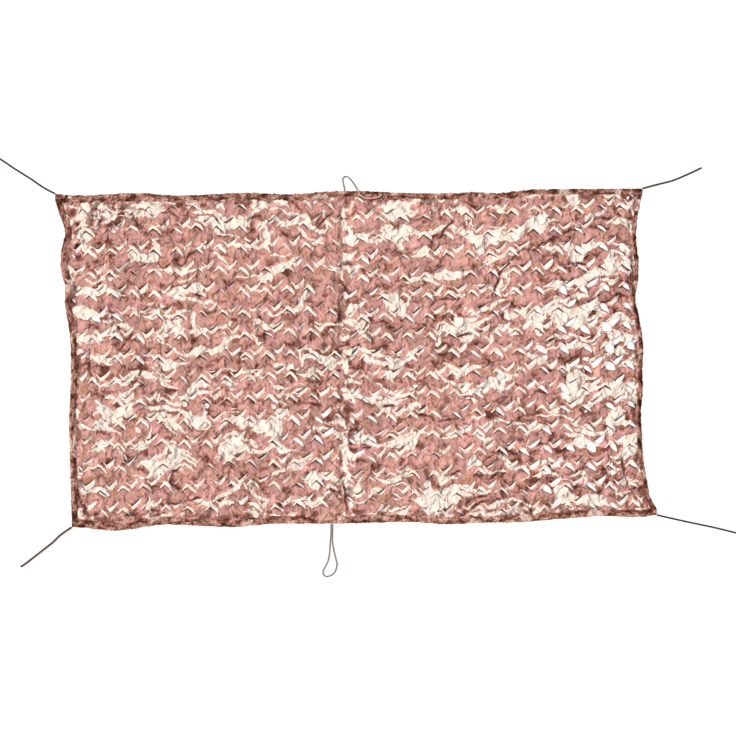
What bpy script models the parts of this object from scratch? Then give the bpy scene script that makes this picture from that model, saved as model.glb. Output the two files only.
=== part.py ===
"""Camouflage netting laid out flat on the ground.

Two panels of slit cloth meet in a lapped seam across the middle. A folded strip binds each of
the four sides, a tie leaves each corner, and a thin cord loops out at the middle of each long
side. Lengths are in metres, X runs along the net, Y across it, and the ground is Z = 0.
"""

import bmesh
import bpy
import numpy as np
from mathutils.geometry import delaunay_2d_cdt

# Cloth
SHEET = 0.0015  # thickness of every layer of cloth
GAP = 0.0003  # clearance between two pieces
SLOT = SHEET + 2 * GAP  # room for one layer inside the folded binding
TUCK = SHEET + 0.0013  # how far the panel's edge lies in from the binding's outer edge
BOUND_REST = SHEET + GAP  # height of the panel where the binding's lower leaf is under it

# Lapped seam, the right panel over the left one
SEAM_X = -0.058
LAP = 0.024
LAP_LIFT = SHEET + GAP
LAP_RAMP = 0.09  # length over which the lifted cloth comes down again
SEAM_LENGTH = 1.6

# Binding: width at the two ends of each side, and the crown of its upper leaf
WIDTHS = {
    # side: (width at its left or lower end, width at its right or upper end)
    "top": (0.038, 0.027),
    "bottom": (0.042, 0.034),
    "left": (0.030, 0.038),
    "right": (0.026, 0.020),
}
CROWN = 0.0022
CROWN_WAVE = 0.0012
CROWN_LENGTH = 0.31
STATION = 0.09  # distance between two sections of the binding

# Edges of the net as it lies, each a row of (place along the side, where the edge is)
TOP_EDGE = (
    # (x, y)
    (-1.5475, 0.8535),
    (-1.420, 0.846),
    (-1.214, 0.856),
    (-1.111, 0.859),
    (-0.957, 0.847),
    (-0.802, 0.849),
    (-0.596, 0.860),
    (-0.287, 0.854),
    (-0.184, 0.864),
    (0.022, 0.869),
    (0.228, 0.860),
    (0.485, 0.858),
    (0.640, 0.864),
    (0.743, 0.857),
    (0.846, 0.872),
    (1.052, 0.879),
    (1.258, 0.880),
    (1.474, 0.8815),
)
BOTTOM_EDGE = (
    # (x, y)
    (-1.462, -0.861),
    (-1.340, -0.870),
    (-1.240, -0.8815),
    (-1.140, -0.870),
    (-1.008, -0.849),
    (-0.802, -0.856),
    (-0.596, -0.859),
    (-0.493, -0.849),
    (-0.081, -0.843),
    (0.331, -0.838),
    (0.434, -0.845),
    (0.640, -0.840),
    (0.846, -0.835),
    (1.052, -0.820),
    (1.258, -0.804),
    (1.464, -0.809),
    (1.5475, -0.7985),
)
LEFT_EDGE = (
    # (y, x)
    (-0.861, -1.462),
    (-0.697, -1.467),
    (-0.568, -1.470),
    (-0.414, -1.475),
    (0.200, -1.482),
    (0.288, -1.498),
    (0.375, -1.498),
    (0.468, -1.518),
    (0.576, -1.515),
    (0.633, -1.500),
    (0.700, -1.503),
    (0.772, -1.534),
    (0.8535, -1.5475),
)
RIGHT_EDGE = (
    # (y, x)
    (-0.7985, 1.5475),
    (-0.722, 1.520),
    (-0.620, 1.500),
    (-0.516, 1.481),
    (-0.414, 1.474),
    (-0.182, 1.472),
    (-0.130, 1.479),
    (-0.052, 1.474),
    (0.025, 1.479),
    (0.205, 1.462),
    (0.308, 1.438),
    (0.380, 1.448),
    (0.494, 1.456),
    (0.566, 1.448),
    (0.658, 1.441),
    (0.725, 1.448),
    (0.798, 1.461),
    (0.8815, 1.474),
)

EDGES = {"top": TOP_EDGE, "bottom": BOTTOM_EDGE, "left": LEFT_EDGE, "right": RIGHT_EDGE}
INWARDS = {"top": -1, "bottom": 1, "left": 1, "right": -1}

# Slits: an arch in each cell of the weave of cuts, and its mirror image half a cell away.
# The solids carry them at twice the cloth's own pitch, with openings twice the size.
COARSER = 2
CUT_PATTERN = {
    # panel: (cell width, cell height, rise of a row to the right, lean of a column,
    #         x and y of one arch's middle)
    "panel_left": (0.1123, 0.1107, 0.03, 0.05, -0.200, -0.428),
    "panel_right": (0.1123, 0.1020, 0.05, 0.045, 0.610, 0.020),
}
SECOND_ARCH = (0.46, 0.44)  # where the mirrored arch sits, in cells
ARCH_HALF = 0.345  # half its span, in cell widths
ARCH_RISE = 0.08  # height of its top, in cell heights
ARCH_FALL = 0.225  # how fast it falls away from its top
ARCH_SKEW = 0.35  # how far its top lies towards the short leg
OPEN_HALF = 0.085  # half the widest opening, in cell heights
OPEN_LEAN = 0.3  # how much wider the long leg opens
OPEN_VARIES = 0.22
ARCH_POINTS = 5  # along each lip, with both ends
FIT_SIZES = (1.0, 0.8, 0.62, 0.48)  # an arch near an edge is as large as fits
SLIT_MARGIN = 0.016
LIP_HEIGHT = 0.011
TONGUE_HEIGHT = 0.003

# Shallow billows where the cloth stands off the ground
BILLOW = 0.007
BILLOW_LENGTH = 0.86
BILLOW_WIDTH = 0.62
BILLOW_FADE = 0.10
BOUND_CLEAR = 0.004  # flat cloth just inside the binding
CLOSEST = 1e-6  # two points of the cut nearer than this would be one

# Cords, as points that the middle of the cord passes through: (x, y, height over its bed)
TIE = 0.007
THICK_TIE = 0.008
THIN_CORD = 0.006
CORD_STEP = 2.6  # distance between two sections, in diameters
TIES = {
    # node: (diameter, points)
    "tie_top_left": (
        TIE,
        (
            (-1.5478, 0.8538, 0),
            (-1.596, 0.8790, 0),
            (-1.678, 0.9335, 0),
            (-1.756, 0.9824, 0),
            (-1.821, 1.0262, 0),
            (-1.855, 1.0475, 0),
        ),
    ),
    "tie_top_right": (
        TIE,
        (
            (1.4745, 0.8817, 0),
            (1.543, 0.9000, 0),
            (1.633, 0.9237, 0),
            (1.704, 0.9531, 0),
            (1.780, 0.9886, 0),
        ),
    ),
    "tie_bottom_right": (
        TIE,
        (
            (1.5480, -0.7987, 0),
            (1.641, -0.8201, 0),
            (1.731, -0.8397, 0),
            (1.838, -0.8623, 0),
            (1.958, -0.8912, 0),
            (1.981, -0.8968, 0),
        ),
    ),
    "tie_bottom_left": (
        THICK_TIE,
        (
            (-1.4624, -0.8613, 0),
            (-1.498, -0.8850, 0),
            (-1.523, -0.9035, 0),
            (-1.565, -0.9437, 0),
            (-1.596, -0.9674, 0),
            (-1.622, -0.9880, 0),
            (-1.663, -1.0199, 0),
            (-1.696, -1.0456, 0),
            (-1.726, -1.0662, 0),
        ),
    ),
}
ON_BINDING = 0.0100  # a cord's bed on the binding's crown, by the seam
LOOP_TOP = (
    (-0.0592, 0.8697, 0),
    (-0.0600, 0.8850, 0),
    (-0.0662, 0.9120, 0),
    (-0.0672, 0.9320, 0),
    (-0.0580, 0.9430, 0),
    (-0.0440, 0.9420, 0),
    (-0.0280, 0.9280, 0.0010),
    (-0.0080, 0.9000, 0.0070),
    (0.0085, 0.8720, ON_BINDING),
    (0.0200, 0.8520, ON_BINDING),
    (0.0365, 0.8365, ON_BINDING),
    (0.0600, 0.8300, ON_BINDING),
    (0.0950, 0.8310, ON_BINDING),
    (0.1200, 0.8380, ON_BINDING),
    (0.1320, 0.8490, ON_BINDING),
    (0.1325, 0.8600, ON_BINDING),
)
LOOP_BOTTOM = (
    (-0.1282, -0.8437, 0),
    (-0.1288, -0.8920, 0),
    (-0.1318, -0.9334, 0),
    (-0.1345, -0.9694, 0),
    (-0.1375, -1.0050, 0),
    (-0.1450, -1.0380, 0),
    (-0.1591, -1.0673, 0),
    (-0.1690, -1.0880, 0),
    (-0.1672, -1.1060, 0),
    (-0.1520, -1.1155, 0),
    (-0.1300, -1.1100, 0),
    (-0.1080, -1.0900, 0),
    (-0.0985, -1.0580, 0),
    (-0.1056, -1.0168, 0),
    (-0.1160, -0.9720, 0),
    (-0.1215, -0.9334, 0),
    (-0.1210, -0.8920, 0),
    (-0.1200, -0.8436, 0),
)

MATERIALS = {
    # name: (colour, roughness)
    "oxford_cloth": ((0.45, 0.23, 0.18), 0.75),
    "binding_cloth": ((0.16, 0.055, 0.035), 0.8),
    "braided_cord": ((0.13, 0.09, 0.08), 0.7),
}


def material(name):
    """The named material, made once."""
    made = bpy.data.materials.get(name)
    if made is None:
        colour, roughness = MATERIALS[name]
        made = bpy.data.materials.new(name)
        made.use_nodes = True
        shader = made.node_tree.nodes["Principled BSDF"]
        shader.inputs["Base Color"].default_value = (*colour, 1)
        shader.inputs["Roughness"].default_value = roughness
        shader.inputs["Metallic"].default_value = 0
    return made


def clear_scene():
    for old in list(bpy.data.objects):
        bpy.data.objects.remove(old)


def add_object(name, data, material_name):
    made = bpy.data.objects.new(name, data)
    data.materials.append(material(material_name))
    bpy.context.scene.collection.objects.link(made)
    return made


def add_solid(name, points, faces, material_name):
    """A closed mesh whose faces point outwards."""
    mesh = bpy.data.meshes.new(name)
    mesh.from_pydata(np.asarray(points).tolist(), [], faces)
    edit = bmesh.new()
    edit.from_mesh(mesh)
    bmesh.ops.recalc_face_normals(edit, faces=edit.faces)
    edit.to_mesh(mesh)
    edit.free()
    return add_object(name, mesh, material_name)


def smooth(rows, at):
    """A cubic curve through the rows, each row's slope taken from its neighbours."""
    place, value = np.array(rows, float).T
    slope = np.gradient(value, place)
    at = np.clip(at, place[0], place[-1])
    i = np.clip(np.searchsorted(place, at) - 1, 0, len(place) - 2)
    step = place[i + 1] - place[i]
    t = (at - place[i]) / step
    start = (1 + 2 * t) * (1 - t) ** 2 * value[i] + t * (1 - t) ** 2 * step * slope[i]
    end = t * t * (3 - 2 * t) * value[i + 1] + t * t * (t - 1) * step * slope[i + 1]
    return start + end


def ease(t):
    """0 below 0, 1 above 1 and a smooth step between."""
    t = np.clip(t, 0, 1)
    return t * t * (3 - 2 * t)


def ends_of(side):
    return EDGES[side][0][0], EDGES[side][-1][0]


def width_at(side, at):
    """The binding's width, which changes evenly along the side."""
    return np.interp(at, ends_of(side), WIDTHS[side])


def edge(side, at):
    """Where the net's outer edge lies on a side."""
    return smooth(EDGES[side], at)


def inner_edge(side, at):
    """Where the binding's inner edge lies on a side."""
    return edge(side, at) + INWARDS[side] * width_at(side, at)


def long_stations(side):
    """Sections of a long side: even steps, with one section on each line of the lap."""
    start, end = ends_of(side)
    before = np.linspace(start, SEAM_X - LAP / 2, round((SEAM_X - start) / STATION))
    after = np.linspace(SEAM_X + LAP / 2, end, round((end - SEAM_X) / STATION))
    return np.concatenate([before, after])


def short_stations(side):
    start, end = ends_of(side)
    return np.linspace(start, end, round((end - start) / STATION))


def built_inner_edge(side, at):
    """The inner edge of a long side's binding, straight between its sections as it is built."""
    stations = long_stations(side)
    return np.interp(at, stations, inner_edge(side, stations))


def lap_lift(x, reach):
    """The lift over the lap: full up to reach past it, then down to nothing."""
    past = np.abs(x - SEAM_X) - LAP / 2
    return LAP_LIFT * (1 - np.clip((past - reach) / LAP_RAMP, 0, 1))


def binding(side):
    """A strip folded round the panels' edge: a C section carried along one side of the net."""
    long_side = side in ("top", "bottom")
    stations = long_stations(side) if long_side else short_stations(side)
    zero = np.zeros_like(stations)
    lift = lap_lift(stations, LAP_RAMP) if long_side else zero
    width = width_at(side, stations)
    crown = CROWN + CROWN_WAVE * np.sin(stations * 2 * np.pi / CROWN_LENGTH)
    slot_top = SHEET + SLOT + lift
    section = (
        # (distance in from the outer edge, height)
        (zero, zero),
        (width, zero),
        (width, zero + SHEET),
        (zero + SHEET, zero + SHEET),
        (zero + SHEET, slot_top),
        (width, slot_top),
        (width, slot_top + SHEET),
        (width / 2, slot_top + SHEET + crown),
        (zero, slot_top + SHEET),
    )
    depth = np.stack([row[0] for row in section], axis=1)
    height = np.stack([row[1] for row in section], axis=1)
    across = edge(side, stations)[:, None] + INWARDS[side] * depth
    along = np.repeat(stations[:, None], len(section), axis=1)
    if long_side:
        points = np.stack([along, across, height], axis=2)
    else:
        # Its two ends follow the long sides' bindings, a gap away.
        along[0] = built_inner_edge("bottom", across[0]) + GAP
        along[-1] = built_inner_edge("top", across[-1]) - GAP
        points = np.stack([across, along, height], axis=2)
    count = len(section)
    last = (len(stations) - 1) * count
    faces = [list(range(count)), list(range(last, last + count))]
    for i in range(len(stations) - 1):
        for j in range(count):
            a, b = i * count + j, i * count + (j + 1) % count
            faces.append([a, b, b + count, a + count])
    return add_solid(f"binding_{side}", points.reshape(-1, 3), faces, "binding_cloth")


def tucked(side, at):
    """How far in the panel's own edge lies."""
    return TUCK + 0 * at


def past_binding(side, at):
    """How far in the cloth has come out of the binding."""
    return width_at(side, at) + BOUND_CLEAR


def inset_edge(side, at, inset):
    return edge(side, at) + INWARDS[side] * inset(side, at)


def own_edge(side):
    """X of the panel's edge in the lap: each panel reaches half the lap past the seam."""
    return SEAM_X + LAP / 2 * (1 if side == "left" else -1)


def corner(side, long_side, inset):
    """The point where the line along a short side meets the line along a long one."""
    y = ends_of(side)[1 if long_side == "top" else 0]
    x = inset_edge(side, y, inset)
    return float(x), float(inset_edge(long_side, x, inset))


def panel_line(side, inset):
    """A line inset from the edges: from the lap out along the top, down the side and back."""
    outward = -1 if side == "left" else 1

    def along(long_side, end_x):
        x = long_stations(long_side)
        in_panel = (x - own_edge(side)) * outward > -GAP
        off_corner = (end_x - x) * outward > STATION / 2
        x = x[in_panel & off_corner]
        # Both lines of the lap share one place, so that its two layers stay parallel.
        at = np.where(np.abs(x - SEAM_X) < LAP, SEAM_X, x)
        line = np.stack([x, inset_edge(long_side, at, inset)], axis=1)
        return line[np.argsort(x * outward)]

    top_corner, foot_corner = corner(side, "top", inset), corner(side, "bottom", inset)
    y = short_stations(side)[::-1]
    y = y[(y < top_corner[1] - STATION / 2) & (y > foot_corner[1] + STATION / 2)]
    down = np.stack([inset_edge(side, y, inset), y], axis=1)
    top, foot = along("top", top_corner[0]), along("bottom", foot_corner[0])
    return np.concatenate([top, [top_corner], down, [foot_corner], foot[::-1]])


def edge_distance(x, y):
    """How far a point lies inside the bindings and off the lap."""
    return np.minimum.reduce(
        [
            inner_edge("top", x) - y,
            y - inner_edge("bottom", x),
            x - inner_edge("left", y),
            inner_edge("right", y) - x,
            np.abs(x - SEAM_X) - LAP / 2,
        ]
    )


def billow(x, y):
    """Low swells, flat on the ground between them and by every edge."""
    wave = np.sin(2 * np.pi * (x / BILLOW_LENGTH + 0.3 * y))
    wave = wave * np.sin(2 * np.pi * (y / BILLOW_WIDTH + 0.15 * x))
    return BILLOW * np.maximum(wave, 0) * ease(edge_distance(x, y) / BILLOW_FADE)


def arch(cell, size, mirrored, chance):
    """The outline of one opening, round its middle, and the height of each of its points.

    The slit is a skewed parabola. One lip stands off it to the outer side and the tongue's lip
    to the inner side, by a width that is nothing at the ends and widest on the long leg.
    """
    width, height = cell
    t = np.linspace(-1, 1, ARCH_POINTS)
    middle = ARCH_RISE - ARCH_FALL * (t + ARCH_SKEW) ** 2
    swing = OPEN_VARIES * chance
    half = OPEN_HALF * (1 - t * t) * (1 + OPEN_LEAN * t) * (1 + swing)
    slope = -2 * ARCH_FALL * (t + ARCH_SKEW) / ARCH_HALF
    normal = np.stack([-slope, np.ones_like(t)], axis=1) / np.hypot(slope, 1)[:, None]
    line = np.stack([ARCH_HALF * t, middle], axis=1)
    outer = line + normal * half[:, None]
    tongue = line - normal * half[:, None]
    ring = np.concatenate([outer, tongue[-2:0:-1]])
    lift = np.concatenate([LIP_HEIGHT * (1 - t * t), TONGUE_HEIGHT * (1 - t * t)[-2:0:-1]])
    ring = ring * (width * size, height * size * (-1 if mirrored else 1))
    return ring, lift * size * (1 + swing)


def arches(name):
    """Every opening of a panel, as (points, heights)."""
    width, height, rise, lean, start_x, start_y = CUT_PATTERN[name]
    width, height = width * COARSER, height * COARSER
    chance = np.random.default_rng(sorted(CUT_PATTERN).index(name) + 7)
    side = -1 if name == "panel_left" else 1
    found = []
    reach = range(-12, 13)
    for row in reach:
        for column in reach:
            for mirrored in (False, True):
                across = column + SECOND_ARCH[0] * mirrored
                up = row + SECOND_ARCH[1] * mirrored
                x = start_x + across * width - up * height * lean
                y = start_y + up * height + across * width * rise
                swing = chance.uniform(-1, 1)
                if (x - SEAM_X) * side < 0:
                    continue
                for size in FIT_SIZES:
                    ring, lift = arch((width, height), size, mirrored, swing)
                    ring = ring + (x, y)
                    if edge_distance(ring[:, 0], ring[:, 1]).min() > SLIT_MARGIN:
                        found.append((ring, lift))
                        break
    return found


def inside(points, ring):
    """Which points lie inside a ring, by counting the edges that a ray crosses."""
    x, y = points[:, 0, None], points[:, 1, None]
    start, end = ring, np.roll(ring, -1, axis=0)
    spans = (start[:, 1] > y) != (end[:, 1] > y)
    fall = np.where(end[:, 1] == start[:, 1], 1, end[:, 1] - start[:, 1])
    cross = start[:, 0] + (y - start[:, 1]) / fall * (end[:, 0] - start[:, 0])
    return (spans & (x < cross)).sum(axis=1) % 2 == 1


def loop_edges(start, count):
    return [(start + i, start + (i + 1) % count) for i in range(count)]


def open_edges(start, count):
    return [(start + i, start + i + 1) for i in range(count - 1)]


def panel_layout(name):
    """The cut drawn flat: its points and their heights, the lines between them, and its rings."""
    side = name.removeprefix("panel_")
    rim = panel_line(side, tucked)
    bound = panel_line(side, past_binding)
    seam_y = np.linspace(bound[0, 1], bound[-1, 1], round(SEAM_LENGTH / STATION))
    # The rim comes back up its own edge of the lap, where the other panel's line runs as well.
    own = np.column_stack([np.full_like(seam_y, own_edge(side)), seam_y])[::-1]
    lap = np.column_stack([np.full_like(seam_y, 2 * SEAM_X - own_edge(side)), seam_y])[1:-1]
    bound = bound[1:-1]
    on_ground = np.zeros(len(lap))
    openings = arches(name)
    rings = [np.concatenate([rim, own]), bound, lap] + [ring for ring, _ in openings]
    heights = [np.full(len(rim) + 1, BOUND_REST), on_ground, np.full(1 + len(bound), BOUND_REST)]
    heights += [on_ground] + [lift for _, lift in openings]
    starts = np.cumsum([0] + [len(ring) for ring in rings])
    edges = open_edges(starts[1], len(bound)) + open_edges(starts[2], len(lap))
    edges += [(starts[1], starts[2]), (starts[2] - 1, starts[3] - 1)]
    for i in [0, *range(3, len(rings))]:
        edges += loop_edges(starts[i], len(rings[i]))
    flat = np.concatenate(rings)
    height = np.concatenate(heights) + billow(flat[:, 0], flat[:, 1])
    if side == "right":
        height = height + lap_lift(flat[:, 0], 0)
    ring_of = np.repeat(np.arange(len(rings)), [len(ring) for ring in rings])
    return flat, height, edges, ring_of, rings


def panel(name):
    """One panel: the flat cut is filled with triangles, lifted to its heights and thickened."""
    flat, height, edges, ring_of, rings = panel_layout(name)
    filled = delaunay_2d_cdt(flat.tolist(), edges, [], 0, CLOSEST)
    source = np.array([found[0] for found in filled[3]])
    triangles = np.array([source[list(face)] for face in filled[2]])
    middle = flat[triangles].mean(axis=1)
    keep = inside(middle, rings[0])
    owner = ring_of[triangles]
    in_one = (owner == owner[:, :1]).all(axis=1) & (owner[:, 0] > 2)
    for i in range(3, len(rings)):
        mine = np.flatnonzero(in_one & (owner[:, 0] == i))
        keep[mine[inside(middle[mine], rings[i])]] = False
    triangles = triangles[keep]
    count = len(flat)
    sides = np.concatenate([triangles[:, [0, 1]], triangles[:, [1, 2]], triangles[:, [2, 0]]])
    lines, uses = np.unique(np.sort(sides, axis=1), axis=0, return_counts=True)
    faces = triangles.tolist() + (triangles[:, ::-1] + count).tolist()
    faces += [[a, b, b + count, a + count] for a, b in lines[uses == 1].tolist()]
    low = np.column_stack([flat, height])
    return add_solid(name, np.concatenate([low, low + (0, 0, SHEET)]), faces, "oxford_cloth")


def route_points(points, step):
    """Evenly spaced points on one smooth curve through the route's own points."""
    points = np.array(points, float)
    length = np.concatenate([[0], np.cumsum(np.linalg.norm(np.diff(points, axis=0), axis=1))])
    fine = np.linspace(0, length[-1], 40 * len(points))
    curve = np.stack([smooth(np.stack([length, axis], axis=1), fine) for axis in points.T], axis=1)
    run = np.concatenate([[0], np.cumsum(np.linalg.norm(np.diff(curve, axis=0), axis=1))])
    even = np.linspace(0, run[-1], max(round(run[-1] / step), 2) + 1)
    return np.stack([np.interp(even, run, axis) for axis in curve.T], axis=1)


def cord(name, diameter, points):
    """A round cord along its route, its underside a gap over its bed."""
    points = np.array(points, float) + (0, 0, diameter / 2 + GAP)
    line = route_points(points, CORD_STEP * diameter)
    curve = bpy.data.curves.new(name, "CURVE")
    curve.dimensions = "3D"
    curve.bevel_depth = diameter / 2
    curve.bevel_resolution = 2
    curve.use_fill_caps = True
    spline = curve.splines.new("POLY")
    spline.points.add(len(line) - 1)
    spline.points.foreach_set("co", np.column_stack([line, np.ones(len(line))]).ravel())
    return add_object(name, curve, "braided_cord")


def main():
    clear_scene()
    for name in CUT_PATTERN:
        panel(name)
    for side in EDGES:
        binding(side)
    for name, (diameter, points) in TIES.items():
        cord(name, diameter, points)
    cord("loop_top", THIN_CORD, LOOP_TOP)
    cord("loop_bottom", THIN_CORD, LOOP_BOTTOM)


main()
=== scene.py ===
"""The looks of a camouflage net that lies flat on the ground: slit and printed cloth in two
panels, a folded binding round them, corner ties and two thin cord loops.

Lengths are in metres. X runs along the net, Y across it, and the ground is Z = 0.
"""

import math

import bpy
import numpy as np
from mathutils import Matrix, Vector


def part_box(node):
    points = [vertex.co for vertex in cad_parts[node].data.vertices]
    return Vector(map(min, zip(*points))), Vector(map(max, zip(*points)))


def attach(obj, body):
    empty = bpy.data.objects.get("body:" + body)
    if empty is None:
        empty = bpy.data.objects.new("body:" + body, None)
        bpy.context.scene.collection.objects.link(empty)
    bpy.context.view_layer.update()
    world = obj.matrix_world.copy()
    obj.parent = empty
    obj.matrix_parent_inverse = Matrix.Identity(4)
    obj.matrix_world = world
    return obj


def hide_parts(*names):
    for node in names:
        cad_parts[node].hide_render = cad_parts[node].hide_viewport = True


bl_info = {
    "name": "Camouflage netting",
    "version": (1, 0, 0),
    "blender": (4, 5, 0),
    "location": "View3D > Sidebar > Netting",
    "description": "Dresses the solids of a camouflage net with slit cloth, bindings and cords",
    "category": "Object",
}

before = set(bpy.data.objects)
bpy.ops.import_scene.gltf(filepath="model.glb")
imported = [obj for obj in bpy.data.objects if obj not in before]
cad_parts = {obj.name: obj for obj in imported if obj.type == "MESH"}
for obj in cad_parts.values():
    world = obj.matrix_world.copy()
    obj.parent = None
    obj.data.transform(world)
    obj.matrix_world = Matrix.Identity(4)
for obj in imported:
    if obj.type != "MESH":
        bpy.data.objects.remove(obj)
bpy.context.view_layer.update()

# ---------------------------------------------------------------- sizes shared with the solids

GAP = 0.0003  # between pieces that lie on each other
TUCK = 0.0028  # from the net's outer edge to the panels' rim, inside the fold
BOUND_REST = 0.0024  # how high the panels lie inside the bindings
SEAM_X = -0.058
LAP = 0.024
LAP_LIFT = 0.0018
LAP_RAMP = 0.09
BILLOW = 0.007
BILLOW_LENGTH = 0.86
BILLOW_WIDTH = 0.62
BILLOW_FADE = 0.10
SIDES = ("top", "bottom", "left", "right")
LONG_SIDES = ("top", "bottom")
INWARDS = {"top": -1, "bottom": 1, "left": 1, "right": -1}

# The weave of slits: cell width and height, rise of a row to the right, lean of a column, and
# the left end of one arch.
WEAVE = {
    "panel_left": (0.1123, 0.1107, 0.03, 0.05, -0.2383, -0.4240),
    "panel_right": (0.1123, 0.1020, 0.05, 0.045, 0.5726, 0.0240),
}

# One slit, in cells: an arch with a short leg on the left and a long one on the right. Every
# second row holds the same arch upside down.
PER_CELL = 18
SLIT = 12 / PER_CELL
TOP_AT = 4.5 / PER_CELL
MIRROR_ALONG = 8 / PER_CELL
MIRROR_UP = 0.44
PEAK = 0.17
SHORT_DROP = 0.22
LONG_DROP = 0.37
STRIP_ROWS = 10
# Where the slits gape more, or less, than elsewhere: (x, y, reach, amount)
SLACK = (
    (-1.36, 0.25, 0.18, 0.8), (-1.20, -0.05, 0.25, 0.3), (-0.95, 0.10, 0.55, -0.20),
    (-1.20, -0.55, 0.30, 0.2), (-0.25, -0.35, 0.30, 0.5), (0.02, -0.40, 0.12, 0.5),
    (0.10, 0.45, 0.25, 0.25), (0.35, -0.50, 0.30, -0.25), (0.75, -0.05, 0.30, 0.3),
    (1.15, 0.38, 0.22, 0.6), (1.25, 0.08, 0.35, 1.7), (1.20, -0.55, 0.30, 1.3),
)
STRIP_SPAN = 0.054  # a strip's width, for what fades away from its lips
LIP_OVERLAP = 0.0055  # how far the lips overlap along the short leg
LIP_BAND = 0.0092  # the pale band along a short leg, and what the long leg adds to it
LONG_LEG_BAND = 0.0112
POCKET_BAND = 0.0105  # the band of painted shade under a lip
PUCKER = 0.0032  # how high the cloth puckers along the seam
TOP_HEIGHT = 0.0245  # the cloth stands between these, before its billows and the lap
LEAST_HEIGHT = 0.0009
PRINT_STRETCH = 1.13  # how far the open slits stretch the print across the net

# Main creases, from end to end: (x0, y0, x1, y1, rise); a trough has a negative rise
CREASES = (
    # the pinch near the left end
    (-1.26, 0.25, -1.21, 0.21, -0.012), (-1.28, 0.185, -1.22, 0.18, -0.012),
    (-1.36, 0.18, -1.30, 0.145, -0.012), (-1.165, 0.135, -1.20, 0.06, -0.012),
    (-1.09, -0.03, -1.14, -0.12, -0.014), (-1.19, -0.06, -1.14, -0.045, -0.012),
    (-1.37, 0.03, -1.37, -0.08, -0.008), (-0.90, 0.49, -0.83, 0.55, -0.010),
    # the bottom left corner
    (-1.435, -0.65, -1.39, -0.79, -0.014), (-0.95, -0.615, -0.90, -0.54, -0.010),
    (-0.96, -0.735, -0.80, -0.71, -0.010), (-1.18, -0.80, -1.02, -0.775, -0.010),
    # the middle
    (-0.19, 0.695, -0.12, 0.76, -0.010), (-0.085, 0.42, -0.05, 0.375, -0.012),
    (0.43, 0.635, 0.50, 0.71, -0.010), (0.385, 0.285, 0.43, 0.31, -0.012),
    (-0.095, 0.055, -0.06, 0.0, -0.012), (0.33, -0.28, 0.40, -0.31, -0.013),
    (0.43, -0.31, 0.54, -0.295, -0.013), (-0.075, -0.43, -0.01, -0.44, -0.012),
    (-0.06, -0.62, -0.045, -0.78, -0.014), (-0.26, -0.23, -0.18, -0.24, -0.012),
    (-0.10, 0.065, -0.04, 0.075, -0.010), (0.045, -0.455, 0.07, -0.455, -0.014),
    (0.135, -0.535, 0.17, -0.545, -0.012), (0.145, -0.235, 0.19, -0.225, -0.012),
    (0.43, 0.028, 0.485, 0.03, -0.010), (0.485, -0.60, 0.53, -0.575, -0.010),
    (-0.40, -0.745, -0.32, -0.748, -0.010),
    # the long one in the top right quarter, and the ones round it
    (0.73, 0.45, 0.815, 0.535, -0.012), (0.815, 0.535, 0.99, 0.61, -0.012),
    (0.99, 0.61, 1.155, 0.675, -0.014), (1.10, 0.50, 1.185, 0.495, -0.012),
    (1.27, 0.295, 1.36, 0.335, -0.012), (0.43, 0.305, 0.53, 0.32, -0.010),
    (0.72, 0.335, 0.735, 0.45, -0.012), (1.265, 0.725, 1.32, 0.715, -0.012),
    (1.335, 0.78, 1.37, 0.74, -0.014), (1.21, 0.687, 1.30, 0.673, -0.012),
    (0.505, 0.11, 0.65, 0.145, -0.010), (1.08, -0.02, 1.155, 0.03, -0.012),
    (0.525, 0.835, 0.70, 0.73, 0.008), (0.70, 0.73, 0.755, 0.60, 0.008),
    # the bottom right quarter
    (0.93, -0.17, 1.035, -0.17, -0.013), (0.70, -0.60, 0.75, -0.55, -0.012),
    (0.535, -0.75, 0.665, -0.695, -0.010), (0.60, -0.755, 0.68, -0.715, -0.010),
    (1.375, -0.51, 1.385, -0.64, -0.012),
)
# Where the print holds more cream, or less: (x, y, reach, amount)
CREAM = (
    (1.25, 0.30, 0.32, 0.026), (1.25, -0.45, 0.38, 0.024), (0.80, -0.60, 0.20, 0.020),
    (-1.00, -0.30, 0.35, 0.018), (-1.30, 0.62, 0.22, 0.014), (0.06, -0.35, 0.14, 0.024),
    (0.10, 0.20, 0.25, 0.018), (-0.20, 0.02, 0.25, 0.016), (-0.55, 0.45, 0.30, -0.010),
    (0.45, -0.45, 0.22, -0.020), (0.55, 0.60, 0.20, -0.012),
)

# Where in their noise the print's splashes and its thin streaks begin
SPLASH_FROM = 0.604
STREAK_FROM = 0.618

# Folded bindings: how pale the print is on each, then their form. The lower leaf ends at
# LOWER_TO and the upper one begins at UPPER_FROM, as shares of the way across.
STRIP_TONE = {"top": 0.0, "bottom": 0.015, "left": 0.015, "right": -0.03}
FOLD_RADIUS = 0.0026
LOWER_TO = 0.36
UPPER_FROM = 0.54
FOLD_STEP = 0.0045  # between points along a binding
FOLD_COLUMNS = 25  # points across it
STITCH = 0.0012
STITCH_ACROSS = 0.90
STITCH_GRID = (6, 5)  # points along and round a stitch's thread

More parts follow.
